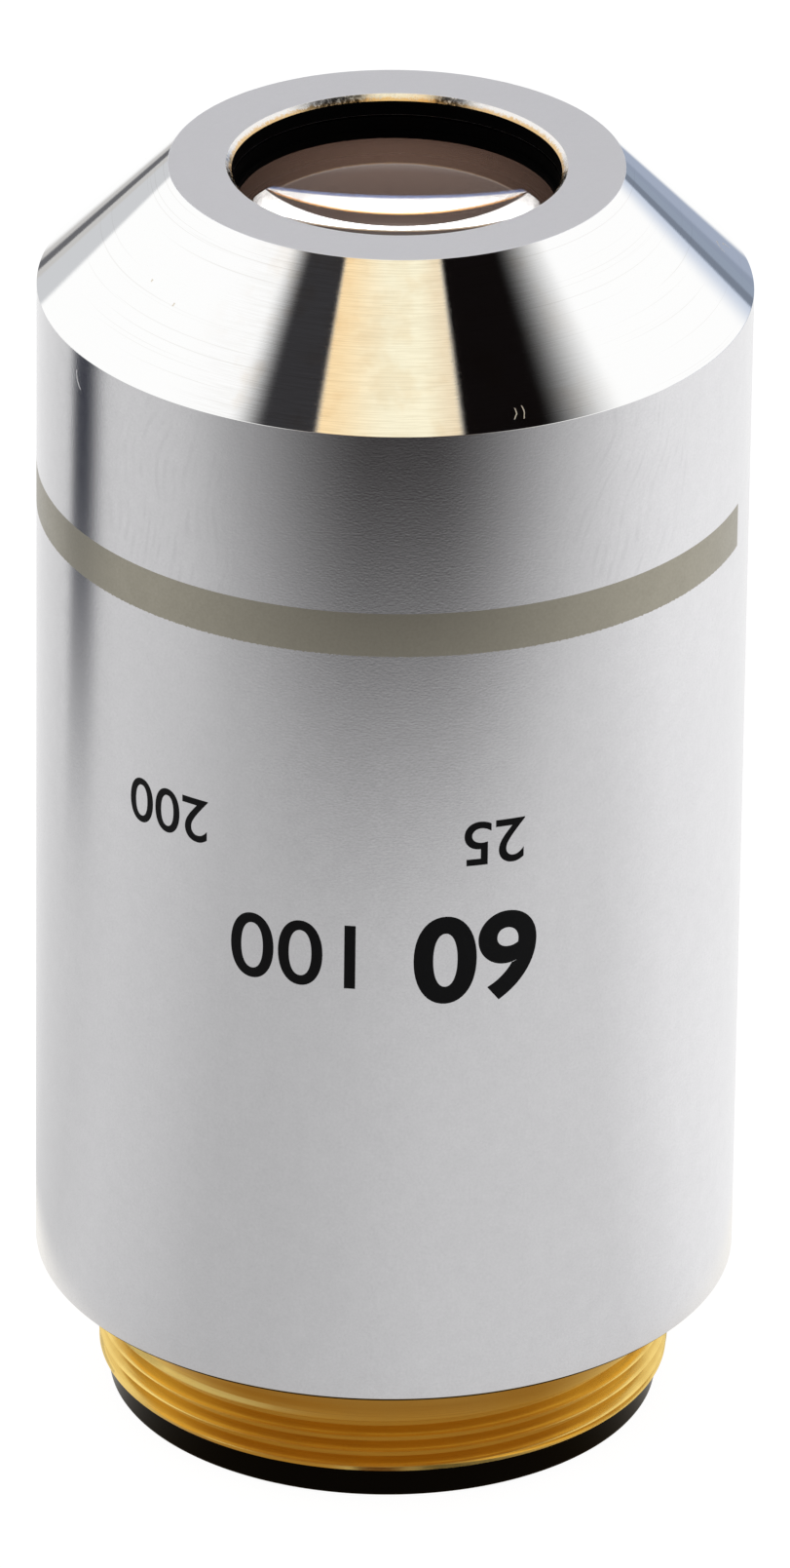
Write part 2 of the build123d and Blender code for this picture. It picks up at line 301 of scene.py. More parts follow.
class TurnedPlace(Effect):
    """Where a point lies on a turned part: its azimuth in degrees, and its radius and height in millimetres."""

    name = "turned_place"
    outputs = ("Azimuth", "Radius", "Height", "Solid place", "Unrolled place")

    def compose(self, graph: Graph, given: dict[str, Socket]) -> tuple[Socket, ...]:
        """Read the object's own coordinates and unroll them about the axis."""
        place = graph.add("TexCoord").outputs["Object"]
        scaled = graph.add("VectorMath", operation="SCALE")
        graph.feed(scaled.inputs[0], place)
        scaled.inputs["Scale"].default_value = 1 / MM
        x, y, z = graph.parts(scaled.outputs[0])
        back = graph.times(y, -1.0)
        azimuth = graph.math("DEGREES", graph.math("ARCTAN2", x, back))
        radius = graph.math("SQRT", graph.plus(graph.times(x, x), graph.times(y, y)))
        arc = graph.times(graph.math("RADIANS", azimuth), radius)
        return azimuth, radius, z, scaled.outputs[0], graph.vector(arc, z, radius)


class FineGrain(Effect):
    """Fine blasted or cast grain, the same in every direction."""

    name = "fine_grain"
    inputs = {"Size": 0.1, "Contrast": 1.0}
    outputs = ("Relief", "Tone")

    def compose(self, graph: Graph, given: dict[str, Socket]) -> tuple[Socket, ...]:
        """Layer two sizes of noise in the solid."""
        place = places.place(graph)["Solid place"]
        scale = graph.over(1.0, given["Size"])
        fine = graph.noise(place, scale, 2.0, 0.6)
        broad = graph.noise(place, graph.times(scale, 0.13), 2.0, 0.5)
        tone = graph.plus(graph.times(fine, 0.7), graph.times(broad, 0.3))
        spread = graph.times(graph.minus(tone, 0.5), given["Contrast"])
        return fine, graph.plus(spread, 0.5, clamp=True)


class TurningLines(Effect):
    """The fine lines that a turning or polishing tool leaves round a part."""

    name = "turning_lines"
    inputs = {"Pitch": 0.05, "Length": 6.0}
    outputs = ("Relief", "Scratch")

    def compose(self, graph: Graph, given: dict[str, Socket]) -> tuple[Socket, ...]:
        """Stretch noise round the axis and keep its deepest lines as scratches."""
        place = places.place(graph)
        arc, height, radius = graph.parts(place["Unrolled place"])
        across = graph.minus(graph.times(height, 1.3), radius)
        lines = graph.vector(
            graph.over(arc, given["Length"]), graph.over(across, given["Pitch"]), 0.0
        )
        relief = graph.noise(lines, 1.0, 3.0, 0.65)
        sparse = graph.noise(lines, 0.31, 1.0, 0.5)
        return relief, graph.ramp(sparse, 0.66, 0.74)


class Specks(Effect):
    """Small separate specks of dirt, chips or dust."""

    name = "specks"
    inputs = {"Spacing": 3.0, "Size": 0.08, "Share": 0.3}
    outputs = ("Mask",)

    def compose(self, graph: Graph, given: dict[str, Socket]) -> tuple[Socket, ...]:
        """Keep a share of scattered cells, each with an uneven outline."""
        place = places.place(graph)["Solid place"]
        cells = graph.add("TexVoronoi")
        graph.feed(cells.inputs["Vector"], place)
        graph.feed(cells.inputs["Scale"], graph.over(1.0, given["Spacing"]))
        ragged = graph.times(graph.noise(place, 9.0, 2.0), 1.4)
        reach = graph.times(graph.over(given["Size"], given["Spacing"]), ragged)
        near = graph.math("LESS_THAN", cells.outputs["Distance"], reach)
        kept = graph.math("LESS_THAN", graph.parts(cells.outputs["Color"])[0], given["Share"])
        return (graph.times(near, kept),)


class Patch(Effect):
    """A soft uneven patch at one place of a turned part, such as a handled spot."""

    name = "patch"
    inputs = {"Azimuth": 0.0, "Height": 0.0, "Half angle": 10.0, "Half height": 3.0}
    outputs = ("Mask",)

    def compose(self, graph: Graph, given: dict[str, Socket]) -> tuple[Socket, ...]:
        """Fade from the middle of the patch to an uneven outline."""
        place = places.place(graph)
        across = graph.over(graph.minus(place["Azimuth"], given["Azimuth"]), given["Half angle"])
        along = graph.over(graph.minus(place["Height"], given["Height"]), given["Half height"])
        far = graph.plus(graph.times(across, across), graph.times(along, along))
        uneven = graph.times(graph.noise(place["Solid place"], 0.45, 3.0), 1.1)
        return (graph.ramp(graph.plus(far, uneven), 0.75, 1.5, 1.0, 0.0),)


class Stroke(Effect):
    """One short bent stroke at a place of a turned part, such as a scratch or a hair of lint."""

    name = "stroke"
    inputs = {"Azimuth": 0.0, "Height": 0.0, "Length": 0.6, "Lean": 0.0, "Bend": 0.5, "Width": 0.03}
    outputs = ("Mask",)

    def compose(self, graph: Graph, given: dict[str, Socket]) -> tuple[Socket, ...]:
        """Measure how far a point lies from a parabola that leans and bends."""
        place = places.place(graph)
        turned = graph.math("RADIANS", graph.minus(place["Azimuth"], given["Azimuth"]))
        x = graph.times(turned, place["Radius"])
        y = graph.minus(place["Height"], given["Height"])
        lean = graph.math("RADIANS", given["Lean"])
        cosine, sine = graph.math("COSINE", lean), graph.math("SINE", lean)
        along = graph.plus(graph.times(x, sine), graph.times(y, cosine))
        across = graph.minus(graph.times(x, cosine), graph.times(y, sine))
        bowed = graph.minus(across, graph.times(given["Bend"], graph.times(along, along)))
        shaky = graph.times(graph.minus(graph.noise(place["Solid place"], 4.0, 2.0), 0.5), 0.12)
        off = graph.math("ABSOLUTE", graph.plus(bowed, shaky))
        near = graph.ramp(off, graph.times(given["Width"], 0.5), given["Width"], 1.0, 0.0)
        half = graph.times(given["Length"], 0.5)
        inside = graph.ramp(graph.math("ABSOLUTE", along), graph.times(half, 0.8), half, 1.0, 0.0)
        return (graph.times(near, inside),)


places = TurnedPlace()
stroke = Stroke()
grain = FineGrain()
lines = TurningLines()
specks = Specks()
patch = Patch()


def surface_material(name: str, colour: Colour) -> tuple[bpy.types.Material, Graph, bpy.types.Node]:
    """Start a material with a Principled shader on its output.

    Args:
        name: the material's name.
        colour: its colour in the plain viewport.

    Returns:
        The material, its graph and its shader.
    """
    made = bpy.data.materials.new(name)
    made.use_nodes = True
    graph = Graph(made.node_tree)
    shader = graph.add("BsdfPrincipled")
    graph.feed(graph.add("OutputMaterial").inputs["Surface"], shader.outputs[0])
    made.diffuse_color = (*colour, 1.0)
    return made, graph, shader


@dataclass(frozen=True)
class Finish:
    """A finish of one or more pieces.

    Attributes:
        name: the material's name.
        colour: its main colour.
        shade: the colour in its darker grain and wear; for brass also the tarnish and painted shade in the thread's
            grooves.
        rough: its roughness, from 0 to 1.
        metal: 1 for a metal, and 0 for paint or plastic.
        grain_size: size of its grain in millimetres.
        relief: height of its grain or lines in millimetres.
        clear: weight of a clear layer over it.
        gloss: strength of its plain reflection, where one half is usual.
        bloom: weight of the pale bloom that it shows at a slant.
    """

    name: str
    colour: Colour
    shade: Colour
    rough: float
    metal: float = 1.0
    grain_size: float = 0.08
    relief: float = 0.001
    clear: float = 0.0
    gloss: float = 0.5
    bloom: float = 0.0

    def material(self) -> bpy.types.Material:
        """Build the material.

        Returns:
            The material.
        """
        made, graph, shader = surface_material(self.name, self.colour)
        shader.inputs["Metallic"].default_value = self.metal
        shader.inputs["Coat Weight"].default_value = self.clear
        shader.inputs["Specular IOR Level"].default_value = self.gloss
        shader.inputs["Sheen Weight"].default_value = self.bloom
        shader.inputs["Sheen Roughness"].default_value = 0.35
        colour, rough, height = self.surface(graph, shader)
        graph.feed(shader.inputs["Base Color"], colour)
        graph.feed(shader.inputs["Roughness"], rough)
        bump = graph.add("Bump")
        bump.inputs["Strength"].default_value = 1.0
        bump.inputs["Distance"].default_value = self.relief * MM
        graph.feed(bump.inputs["Height"], height)
        graph.feed(shader.inputs["Normal"], bump.outputs[0])
        return made

    def surface(self, graph: Graph, shader: bpy.types.Node) -> tuple[Socket, Socket, Socket]:
        """Work out how the finish varies over the surface.

        Args:
            graph: the material's graph.
            shader: the material's shader, for its plain settings.

        Returns:
            Its colour, roughness and relief.
        """
        fine = grain.place(graph, size=self.grain_size, contrast=1.6)
        colour = graph.mix(fine["Tone"], self.shade, self.colour)
        rough = graph.ramp(fine["Tone"], 0.0, 1.0, self.rough + 0.06, self.rough - 0.04)
        return colour, rough, fine["Relief"]


@dataclass(frozen=True)
class Satin(Finish):
    """Blasted satin chrome with handling marks."""

    def surface(self, graph: Graph, shader: bpy.types.Node) -> tuple[Socket, Socket, Socket]:
        """Fine grain, with two fingerprints high up, thin greasy films, dirt and one scratch."""
        place = places.place(graph)
        fine = grain.place(graph, size=self.grain_size, contrast=0.8)
        film = self.fingerprints(graph, place)
        clouds = graph.noise(place["Unrolled place"], 0.12, 4.0, 0.6)
        colour = graph.mix(fine["Tone"], self.shade, self.colour)
        colour = graph.mix(graph.times(film, 0.34), colour, self.shade)
        colour = graph.mix(graph.ramp(clouds, 0.35, 0.75, 0.0, 0.10), colour, self.shade)
        dirt = specks.place(graph, spacing=2.6, size=0.045, share=0.22)["Mask"]
        colour = graph.mix(graph.times(dirt, 0.55), colour, (0.05, 0.045, 0.04))
        lint = stroke.place(graph, azimuth=-61.0, height=44.7, length=0.9, lean=-24.0, bend=0.7, width=0.05)["Mask"]
        rough = graph.plus(graph.ramp(fine["Tone"], 0.0, 1.0, self.rough + 0.04, self.rough - 0.03),
                           graph.times(film, 0.05))
        rough = graph.plus(rough, graph.times(lint, 0.6))
        arc, up, _ = graph.parts(place["Unrolled place"])
        combed = graph.vector(graph.times(arc, 4.5), graph.times(up, 11.0), 0.0)
        brushed = graph.noise(combed, 1.0, 3.0, 0.65)
        relief = graph.plus(graph.times(fine["Relief"], 0.5), graph.times(brushed, 0.5))
        return colour, rough, graph.plus(relief, graph.times(film, 0.10))

    def fingerprints(self, graph: Graph, place: dict[str, Socket]) -> Socket:
        """Wavy ridges in two handled patches high on the barrel.

        Args:
            graph: the material's graph.
            place: where a point lies on the barrel.

        Returns:
            A mask of the greasy ridges.
        """
        left = patch.place(graph, azimuth=-36.0, height=41.0, half_angle=19.0, half_height=6.5)["Mask"]
        right = patch.place(graph, azimuth=40.0, height=41.5, half_angle=19.0, half_height=7.0)["Mask"]
        arc, up, _ = graph.parts(place["Unrolled place"])
        bent = graph.times(graph.noise(place["Solid place"], 0.13, 2.0, 0.4), 4.5)
        across = graph.plus(graph.minus(arc, graph.times(up, 0.20)), bent)
        wave = graph.math("SINE", graph.times(across, TURN / 0.46))
        broken = graph.noise(graph.vector(graph.times(across, 1.4), graph.times(up, 0.55), 0.0), 1.0, 2.0)
        ridges = graph.times(graph.ramp(wave, -0.6, 1.0), graph.ramp(broken, 0.42, 0.66))
        return graph.times(graph.plus(left, right, clamp=True), ridges)


@dataclass(frozen=True)
class Polished(Finish):
    """Metal polished to a mirror, with the fine lines of its turning."""

    def surface(self, graph: Graph, shader: bpy.types.Node) -> tuple[Socket, Socket, Socket]:
        """Turning lines, stains, a few scratches, hairs and scattered specks."""
        place = places.place(graph)
        turned = lines.place(graph, pitch=self.grain_size, length=7.0)
        combed = lines.place(graph, pitch=0.11, length=2.2)["Relief"]
        dirt = specks.place(graph, spacing=1.9, size=0.05, share=0.25)["Mask"]
        front = graph.ramp(graph.math("ABSOLUTE", place["Azimuth"]), 20.0, 42.0, 1.0, 0.0)
        colour = graph.mix(graph.times(turned["Scratch"], 0.25), self.colour, self.shade)
        stain = graph.ramp(graph.noise(place["Solid place"], 0.55, 3.0, 0.55), 0.46, 0.66, 0.0, 0.30)
        colour = graph.mix(graph.times(stain, front), colour, (0.80, 0.66, 0.50))
        colour = graph.mix(graph.times(front, graph.ramp(combed, 0.36, 0.62, 0.28, 0.0)), colour, self.shade)
        colour = graph.mix(graph.times(dirt, 0.8), colour, (0.06, 0.05, 0.045))
        hairs = self.hairs(graph)
        rough = graph.plus(self.rough, graph.times(turned["Relief"], 0.025))
        rough = graph.plus(rough, graph.times(graph.times(combed, front), 0.012))
        rough = graph.plus(rough, graph.times(graph.plus(dirt, hairs, clamp=True), 0.45))
        colour = graph.mix(hairs, colour, (0.80, 0.74, 0.64))
        relief = graph.plus(turned["Relief"], graph.times(combed, 0.3))
        return colour, rough, graph.plus(relief, graph.times(hairs, 2.0))

    def hairs(self, graph: Graph) -> Socket:
        """The hairs and nicks that lie on the cone.

        Args:
            graph: the material's graph.

        Returns:
            Their mask.
        """
        lain = (
            (20.2, 46.42, 0.42, 24.0, -1.6, 0.030), (21.6, 46.46, 0.46, 4.0, -1.4, 0.030),
            (94.0, 47.45, 0.70, 66.0, 1.1, 0.040), (97.5, 47.10, 0.60, -48.0, -1.2, 0.040),
            (-57.0, 49.0, 0.10, 0.0, 0.0, 0.06), (-48.0, 48.7, 0.14, 10.0, 0.0, 0.05),
        )
        mask: Socket | None = None
        for azimuth, height, length, lean, bend, width in lain:
            one = stroke.place(graph, azimuth=azimuth, height=height, length=length,
                               lean=lean, bend=bend, width=width)["Mask"]
            mask = one if mask is None else graph.math("MAXIMUM", mask, one)
        return mask


@dataclass(frozen=True)
class Brass(Finish):
    """Bare machined brass, a little darker where the cutter left it dull, with tarnish and painted shade in the
    thread's grooves and a painted shadow under the sleeve.
    """

    def surface(self, graph: Graph, shader: bpy.types.Node) -> tuple[Socket, Socket, Socket]:
        """Turning lines, cloudy tarnish and dark specks in the thread, with tarnish and painted shade in its grooves
        and a painted shadow under the sleeve.
        """
        place = places.place(graph)
        turned = lines.place(graph, pitch=self.grain_size, length=5.0)
        tarnish = graph.ramp(graph.noise(place["Solid place"], 0.35, 4.0, 0.6), 0.4, 0.75)
        dirt = specks.place(graph, spacing=2.2, size=0.13, share=0.30)["Mask"]
        thread = graph.ramp(place["Height"], -0.8, -0.3, 1.0, 0.0)
        # Darker in the thread's grooves, by radius: part tarnish, part painted shade of the recess.
        groove = graph.times(graph.ramp(place["Radius"], 12.26, 12.46, 0.50, 0.0), thread)
        colour = graph.mix(graph.times(tarnish, 0.35), self.colour, self.shade)
        colour = graph.mix(groove, colour, self.shade)
        # Painted shadow: the top of the thread, just under the sleeve, is darkened towards dark brown.
        shadow_under_sleeve = graph.times(graph.ramp(place["Height"], -2.7, -1.7), thread)
        colour = graph.mix(graph.times(shadow_under_sleeve, 0.55), colour, (0.50, 0.26, 0.045))
        streak = graph.ramp(turned["Relief"], 0.35, 0.75)
        colour = graph.mix(graph.times(streak, 0.28), colour, (0.42, 0.22, 0.035))
        colour = graph.mix(graph.times(dirt, 0.85), colour, (0.03, 0.018, 0.01))
        rough = graph.plus(graph.plus(self.rough, graph.times(tarnish, 0.08)),
                           graph.times(dirt, 0.3))
        return colour, rough, turned["Relief"]


@dataclass(frozen=True)
class WornEdge(Finish):
    """A polished edge whose plating is rubbed through to the brass."""

    def surface(self, graph: Graph, shader: bpy.types.Node) -> tuple[Socket, Socket, Socket]:
        """Mottled plating, with brass along the inner side."""
        place = places.place(graph)
        mottle = graph.noise(place["Solid place"], 5.0, 4.0, 0.65)
        inner = graph.plus(place["Radius"], graph.times(graph.minus(mottle, 0.5), 0.30))
        colour = graph.mix(graph.ramp(inner, 7.04, 7.17, 1.0, 0.0), self.colour, self.shade)
        rough = graph.ramp(mottle, 0.35, 0.70, self.rough, self.rough + 0.22)
        return colour, rough, mottle


@dataclass(frozen=True)
class Glass:
    """Optical glass with a thin reflection coating.

    Attributes:
        name: the material's name.
        index: its refractive index.
        tint: colour of the light that its coating lets through.
        gloss: strength of its reflection, which its coating lowers.
        painted_reflection_sheen: weight of a brown sheen at a slant, a painted reflection that stands in for the
            brown inside of the objective.
    """

    name: str
    index: float
    tint: Colour
    gloss: float = 0.5
    painted_reflection_sheen: float = 0.0

    def material(self) -> bpy.types.Material:
        """Build the material.

        Returns:
            The material.
        """
        made, graph, shader = surface_material(self.name, self.tint)
        shader.inputs["Transmission Weight"].default_value = 1.0
        shader.inputs["IOR"].default_value = self.index
        shader.inputs["Specular IOR Level"].default_value = self.gloss
        # Painted reflection: a brown sheen at a slant stands in for the brown inside of the objective seen in the
        # glass.
        shader.inputs["Sheen Weight"].default_value = self.painted_reflection_sheen
        shader.inputs["Sheen Roughness"].default_value = 0.55
        shader.inputs["Sheen Tint"].default_value = (1.0, 0.60, 0.44, 1.0)
        dust = specks.place(graph, spacing=1.6, size=0.03, share=0.35)["Mask"]
        film = graph.noise(places.place(graph)["Solid place"], 0.5, 3.0)
        colour = graph.mix(graph.ramp(film, 0.3, 0.8), self.tint, tuple(0.97 * c for c in self.tint))
        graph.feed(shader.inputs["Base Color"], colour)
        graph.feed(shader.inputs["Roughness"], graph.times(dust, 0.4))
        return made


SATIN = Satin("satin_chrome", (0.93, 0.925, 0.94), (0.70, 0.695, 0.71), 0.155, grain_size=0.10, relief=0.0036)
MIRROR = Polished("polished_chrome", (0.985, 0.985, 0.98), (0.60, 0.57, 0.52), 0.016, grain_size=0.05, relief=0.0004)
FACE = Finish("faced_chrome", (0.86, 0.872, 0.912), (0.80, 0.812, 0.85), 0.42, grain_size=0.06, relief=0.0006)
# The brass shade colour also darkens the thread's grooves, partly as painted shade.
BRASS = Brass("machined_brass", (0.97, 0.71, 0.22), (0.68, 0.42, 0.08), 0.20, grain_size=0.04, relief=0.0008)
STEEL = Finish("blued_steel", (0.16, 0.17, 0.20), (0.08, 0.085, 0.10), 0.32, grain_size=0.05, relief=0.001)
BLACK = Finish("black_ring_finish", (0.0012, 0.0012, 0.0014), (0.0007, 0.0007, 0.0008), 0.22, 0.0, 0.07, 0.0006,
               gloss=0.06)
CELL = Finish("black_cell_finish", (0.0015, 0.0015, 0.0015), (0.0008, 0.0008, 0.0008), 0.5, 0.0, 0.08, 0.001,
              gloss=0.02)
PAINT = Finish("grey_band_paint", (0.44, 0.412, 0.335), (0.36, 0.335, 0.27), 0.34, 0.8, 0.12, 0.0008)
INK = Finish("black_print", (0.0050, 0.0050, 0.0055), (0.0022, 0.0022, 0.0025), 0.45, 0.0, 0.06, 0.001, gloss=0.10)
EDGE = WornEdge("worn_edge", (0.90, 0.88, 0.85), (0.78, 0.53, 0.26), 0.10, relief=0.0012)
# The front glass carries a brown sheen of 0.42, a painted reflection of the objective's inside.
FRONT = Glass("front_glass", 1.52, (0.97, 0.96, 0.95), 0.16, 0.42)
CROWN = Glass("crown_glass", 1.52, (0.96, 0.97, 0.95))
FLINT = Glass("flint_glass", 1.62, (0.97, 0.96, 0.93))


@dataclass(frozen=True)
class Corner:
    """One corner of a turned section.

    Attributes:
        radius: distance from the axis in millimetres.
        height: height along the axis in millimetres.
        ease: radius to which the corner is broken.
        finish: number of the finish on the run that starts here.
    """

    radius: float
    height: float
    ease: float = 0.0
    finish: int = 0


@dataclass
class Turning:
    """A piece turned about the axis from a closed section of corners.

    Attributes:
        name: the piece's name.
        corners: its corners in order round the section.
        segments: how many flats the circle is made of.
        start: azimuth of the first column, in degrees.
    """

    name: str
    corners: list[Corner]
    segments: int = 512
    start: float = 0.2

    def outline(self) -> list[tuple[float, float, int]]:
        """Break the corners and add the lines that hold the flats flat.

        Returns:
            Radius, height and finish for each point of the section.
        """
        points: list[tuple[float, float, int]] = []
        count = len(self.corners)
        for i, corner in enumerate(self.corners):
            before, after = self.corners[i - 1], self.corners[(i + 1) % count]
            here = Vector((corner.radius, corner.height))
            back = Vector((before.radius, before.height)) - here
            on = Vector((after.radius, after.height)) - here
            if corner.ease <= 0 or back.length < 1e-9 or on.length < 1e-9:
                points.append((here.x, here.y, corner.finish))
                continue
            angle = back.angle(on)
            reach = min(corner.ease / math.tan(angle / 2), 0.4 * back.length, 0.4 * on.length)
            radius = reach * math.tan(angle / 2)
            first, last = here + back.normalized() * reach, here + on.normalized() * reach
            centre = here + (back.normalized() + on.normalized()).normalized() * (radius / math.sin(angle / 2))
            hold = min(0.5 * reach, 0.02)
            held = first + back.normalized() * hold
            points.append((held.x, held.y, before.finish))
            steps = 4
            sweep = (first - centre).angle_signed(last - centre)
            for k in range(steps + 1):
                spoke = (first - centre).copy()
                spoke.rotate(Matrix.Rotation(-sweep * k / steps, 2))
                spot = centre + spoke
                points.append((spot.x, spot.y, corner.finish))
            held = last + on.normalized() * hold
            points.append((held.x, held.y, corner.finish))
        return points

    def build(self) -> bpy.types.Object:
        """Turn the section.

        Returns:
            The piece.
        """
        points = self.outline()
        made = bmesh.new()
        columns = []
        for j in range(self.segments):
            angle = math.radians(self.start) + TURN * j / self.segments
            across, deep = math.sin(angle) * MM, -math.cos(angle) * MM
            columns.append([made.verts.new((r * across, r * deep, z * MM)) if r > 1e-6 else None
                            for r, z, _ in points])
        poles = {i: made.verts.new((0, 0, z * MM)) for i, (r, z, _) in enumerate(points) if r <= 1e-6}
        for j, column in enumerate(columns):
            following = columns[(j + 1) % self.segments]
            for i, (_, _, finish) in enumerate(points):
                k = (i + 1) % len(points)
                ring = [column[i] or poles.get(i), column[k] or poles.get(k),
                        following[k] or poles.get(k), following[i] or poles.get(i)]
                distinct = list(dict.fromkeys(ring))
                if len(distinct) > 2:
                    face = made.faces.new(distinct)
                    face.material_index = finish
                    face.smooth = True
        return finished(self.name, made)


def linked(name: str, data: bpy.types.ID) -> bpy.types.Object:
    """Put data into the scene as an object."""
    holder = bpy.data.objects.new(name, data)
    bpy.context.scene.collection.objects.link(holder)
    return holder


def cut_away(piece: bpy.types.Object, cutter: bpy.types.Object, sharp: float, smooth: bool = False) -> None:
    """Cut one object out of another, and remove it.

    Args:
        piece: the object that is cut.
        cutter: the shape that is cut away.
        sharp: angle in degrees past which an edge stays sharp.
        smooth: whether every face is then made smooth.
    """
    cut = piece.modifiers.new("cut", "BOOLEAN")
    cut.operation = "DIFFERENCE"
    cut.solver = "EXACT"
    cut.object = cutter
    bpy.context.view_layer.update()
    held = piece.evaluated_get(bpy.context.evaluated_depsgraph_get())
    mesh = bpy.data.meshes.new_from_object(held)
    piece.modifiers.clear()
    piece.data = mesh
    bpy.data.objects.remove(cutter)
    if smooth:
        for face in mesh.polygons:
            face.use_smooth = True
    mesh.set_sharp_from_angle(angle=math.radians(sharp))


def finished(name: str, made: bmesh.types.BMesh, sharp: float = 30.0) -> bpy.types.Object:
    """Turn a bmesh into an object with clean outward normals.

    Args:
        name: the piece's name.
        made: its mesh, which is freed.
        sharp: angle in degrees past which an edge stays sharp.

    Returns:
        The object.
    """
    bmesh.ops.recalc_face_normals(made, faces=made.faces)
    mesh = bpy.data.meshes.new(name)
    made.to_mesh(mesh)
    made.free()
    mesh.set_sharp_from_angle(angle=math.radians(sharp))
    return linked(name, mesh)


def dress(piece: bpy.types.Object, *materials: bpy.types.Material) -> bpy.types.Object:
    """Give a piece its materials.

    Args:
        piece: the piece.
        materials: its materials by finish number.

    Returns:
        The piece.
    """
    slots = piece.data.materials
    for number, material in enumerate(materials):
        if number < len(slots):
            slots[number] = material
        else:
            slots.append(material)
    return piece


def hand_over(piece: bpy.types.Object, slot: str, *nodes: str) -> None:
    """Let a piece ride on the objective and stand for CAD nodes.

    Args:
        piece: the piece.
        slot: the record's material slot that it belongs to; not used.
        nodes: the CAD nodes that it stands for.
    """
    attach(piece, "root")
    if nodes:
        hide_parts(*nodes)
    log.info("%s: %d faces", piece.name, len(piece.data.polygons))


def turned_point(radius: float, azimuth: float, height: float) -> Vector:
    """A point given by radius and height in millimetres and azimuth in degrees, in metres."""
    angle = math.radians(azimuth)
    return Vector((radius * math.sin(angle), -radius * math.cos(angle), height)) * MM


@dataclass
class OuterSleeve:
    """Straight satin barrel, polished cone and flat front ring, turned in one piece."""

    barrel: float = 15.246
    skirt_bore: float = 14.65
    bore: float = 14.0
    bottom: float = 0.05
    flange: float = 1.5
    cone_edge: float = 45.95
    front: float = 51.5
    front_ring: float = 9.7
    hole: float = 7.0
    chamfer: float = 0.25
    inner_front: float = 50.6
    inner_radius: float = 9.1
    inner_edge: float = 45.7
    band_low: float = 35.8
    band_high: float = 37.75
    band_floor: float = 15.15
    band_end: float = 74.2
    gap: float = 20.0
    edge: float = 0.16
    segments: int = 720

    def build(self) -> bpy.types.Object:
        """Build the sleeve with the groove for its band.

        Returns:
            The sleeve.
        """
        section = [
            Corner(self.skirt_bore, self.bottom, 0.06, 0),
            # The barrel's lower chamfer takes the black cell finish: a painted shadow line under the sleeve's edge.
            Corner(self.barrel - self.edge, self.bottom, 0.02, 4),
            Corner(self.barrel, self.bottom + self.edge, 0.015, 0),
            Corner(self.barrel, self.band_low, 0.0, 0),
            Corner(self.barrel, self.band_high, 0.0, 0),
            Corner(self.barrel, self.cone_edge, 0.035, 1),
            Corner(self.front_ring, self.front, 0.03, 2),
            Corner(self.hole + self.chamfer, self.front, 0.02, 5),
            Corner(self.hole, self.front - self.chamfer, 0.015, 4),
            Corner(self.hole, self.inner_front, 0.03, 3),
            Corner(self.inner_radius, self.inner_front, 0.0, 3),
            Corner(self.bore, self.inner_edge, 0.0, 3),
            Corner(self.bore, self.flange, 0.0, 3),
            Corner(self.skirt_bore, self.flange, 0.0, 3),
        ]
        sleeve = Turning("sleeve", section, self.segments).build()
        self.cut_groove(sleeve)
        finishes = (SATIN, MIRROR, FACE, INSIDE, CELL, EDGE)
        return dress(sleeve, *(finish.material() for finish in finishes))

    def cut_groove(self, sleeve: bpy.types.Object) -> None:
        """Sink the groove for the band, which stops short of a full turn.

        Args:
            sleeve: the turned sleeve.
        """
        made = bmesh.new()
        made.from_mesh(sleeve.data)
        low, high = self.band_low * MM, self.band_high * MM
        sunk = []
        for face in made.faces:
            middle = face.calc_center_median()
            outside = math.hypot(middle.x, middle.y) > (self.barrel - 0.05) * MM
            if not (outside and low < middle.z < high):
                continue
            azimuth = math.degrees(math.atan2(middle.x, -middle.y)) % 360
            if not self.band_end < azimuth < self.band_end + self.gap:
                sunk.append(face)
        grown = bmesh.ops.extrude_face_region(made, geom=sunk, use_keep_orig=False)
        share = self.band_floor / self.barrel
        for vert in (item for item in grown["geom"] if isinstance(item, bmesh.types.BMVert)):
            vert.co.x *= share
            vert.co.y *= share
        bmesh.ops.delete(made, geom=[f for f in sunk if f.is_valid], context="FACES")
        bmesh.ops.recalc_face_normals(made, faces=made.faces)
        made.to_mesh(sleeve.data)
        made.free()
        sleeve.data.set_sharp_from_angle(angle=math.radians(30))

    def band(self) -> bpy.types.Object:
        """Fill the groove with grey paint, with the ragged lower edge that a brush wheel leaves.

        Returns:
            The band.
        """
        made = bmesh.new()
        columns = []
        steps = 1700
        span = 360 - self.gap
        skin = self.barrel + 0.001
        for j in range(steps + 1):
            azimuth = self.band_end - span * j / steps
            ragged = 0.028 * math.sin(j * 1.9) + 0.022 * math.sin(j * 0.73 + 1.0) + 0.012 * math.sin(j * 0.117)
            low = self.band_low - 0.02 - abs(ragged)
            crown = self.band_high + 0.004 * math.sin(j * 0.9)
            columns.append([made.verts.new(turned_point(r, azimuth, z)) for r, z in (
                (self.band_floor + 0.01, self.band_low + 0.01), (self.barrel - 0.02, self.band_low + 0.005),
                (skin, low), (skin + 0.001, low + 0.05), (skin + 0.001, crown - 0.02), (skin, crown),
                (self.band_floor + 0.01, self.band_high - 0.01))])
        for first, second in zip(columns, columns[1:]):
            for k in range(len(first)):
                n = (k + 1) % len(first)
                made.faces.new((first[k], first[n], second[n], second[k])).smooth = True
        made.faces.new(columns[0])
        made.faces.new(columns[-1])
        return dress(finished("band", made), PAINT.material())


INSIDE = Finish("sleeve_bore", (0.30, 0.30, 0.31), (0.16, 0.16, 0.165), 0.40, grain_size=0.10, relief=0.002)


